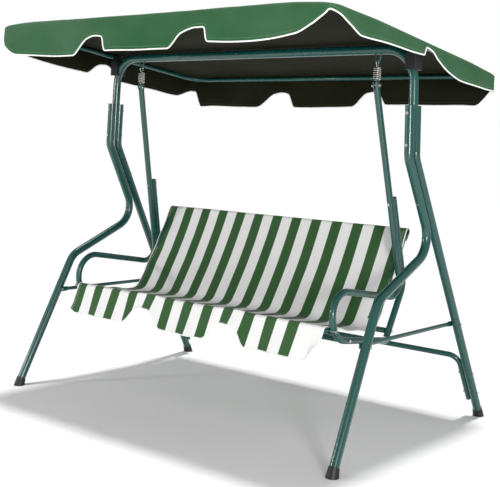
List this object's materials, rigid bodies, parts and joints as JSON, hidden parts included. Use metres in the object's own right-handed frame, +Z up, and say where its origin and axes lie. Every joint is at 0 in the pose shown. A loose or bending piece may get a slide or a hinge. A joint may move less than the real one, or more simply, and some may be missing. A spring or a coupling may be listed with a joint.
{
  "type": "canopy swing bench",
  "caption": "Garden swing bench: a striped fabric seat hung on springs from a tubular A-frame, under a fabric canopy that tilts.",
  "frame": {"origin": "centre of the bounding box's base, on the ground between the four feet", "axes": "+X to the sitter's left as seen from the front, +Y to the back, +Z up"},
  "size_m": [1.6852, 1.2449, 1.5309],
  "materials": {
    "stand_paint": "glossy teal green powder coat",
    "seat_paint": "glossy teal green powder coat",
    "canopy_paint": "glossy teal green powder coat",
    "zinc": "bright zinc plated",
    "spring_wire": "bright zinc plated wire",
    "black_plastic": "moulded black plastic",
    "canopy_fabric": "coated green woven cloth with a white piping",
    "sling_fabric": "green and white striped woven cloth",
    "bracket_plastic": "moulded black plastic"
  },
  "bodies": {
    "stand": {"canopy_bracket_left": "bracket_plastic", "canopy_bracket_right": "bracket_plastic", "front_foot_cap_left": "black_plastic", "front_foot_cap_right": "black_plastic", "front_leg_left": "stand_paint", "front_leg_right": "stand_paint", "rear_crossbar_left": "stand_paint", "rear_crossbar_middle": "stand_paint", "rear_crossbar_right": "stand_paint", "rear_foot_cap_left": "black_plastic", "rear_foot_cap_right": "black_plastic", "rear_leg_left": "stand_paint", "rear_leg_right": "stand_paint", "side_brace_left": "stand_paint", "side_brace_right": "stand_paint", "spring_eye_left": "stand_paint", "spring_eye_right": "stand_paint", "stand_bolts": "zinc", "top_beam_left": "stand_paint", "top_beam_right": "stand_paint"},
    "springs": {"spring_left": "spring_wire", "spring_right": "spring_wire"},
    "hanger_bolts": {"hanger_bolt_left": "zinc", "hanger_bolt_right": "zinc"},
    "seat": {"armrest_tube_left": "seat_paint", "armrest_tube_right": "seat_paint", "back_top_tube": "seat_paint", "back_upright_left": "seat_paint", "back_upright_right": "seat_paint", "seat_bolts": "zinc", "seat_front_tube": "seat_paint", "seat_rear_tube": "seat_paint", "seat_rest_tube": "seat_paint", "seat_sling": "sling_fabric"},
    "canopy": {"canopy_bolts": "zinc", "canopy_cloth": "canopy_fabric", "canopy_front_tube_left": "canopy_paint", "canopy_front_tube_right": "canopy_paint", "canopy_rear_tube_left": "canopy_paint", "canopy_rear_tube_right": "canopy_paint", "canopy_tilt_bolt_left": "zinc", "canopy_tilt_bolt_right": "zinc", "canopy_washer_left": "black_plastic", "canopy_washer_right": "black_plastic"}
  },
  "joints": [
    {"name": "swing", "type": "hinge", "parent": "stand", "child": "springs", "pos_m": [0, -0.01, 1.402], "axis": [1, 0, 0], "range_deg": [-15, 15]},
    {"name": "bounce", "type": "slide", "parent": "springs", "child": "hanger_bolts", "axis": [0, 0, -1], "range_m": [0, 0.03], "stiffness_N_per_m": 20000, "springref_m": -0.01, "deforming": ["spring_left", "spring_right"]},
    {"name": "seat_rock", "type": "hinge", "parent": "hanger_bolts", "child": "seat", "pos_m": [0, -0.01, 1.316], "axis": [1, 0, 0], "range_deg": [-8, 8]},
    {"name": "canopy_tilt", "type": "hinge", "parent": "stand", "child": "canopy", "pos_m": [0, -0.01, 1.454], "axis": [1, 0, 0], "range_deg": [-15, 15]}
  ]
}
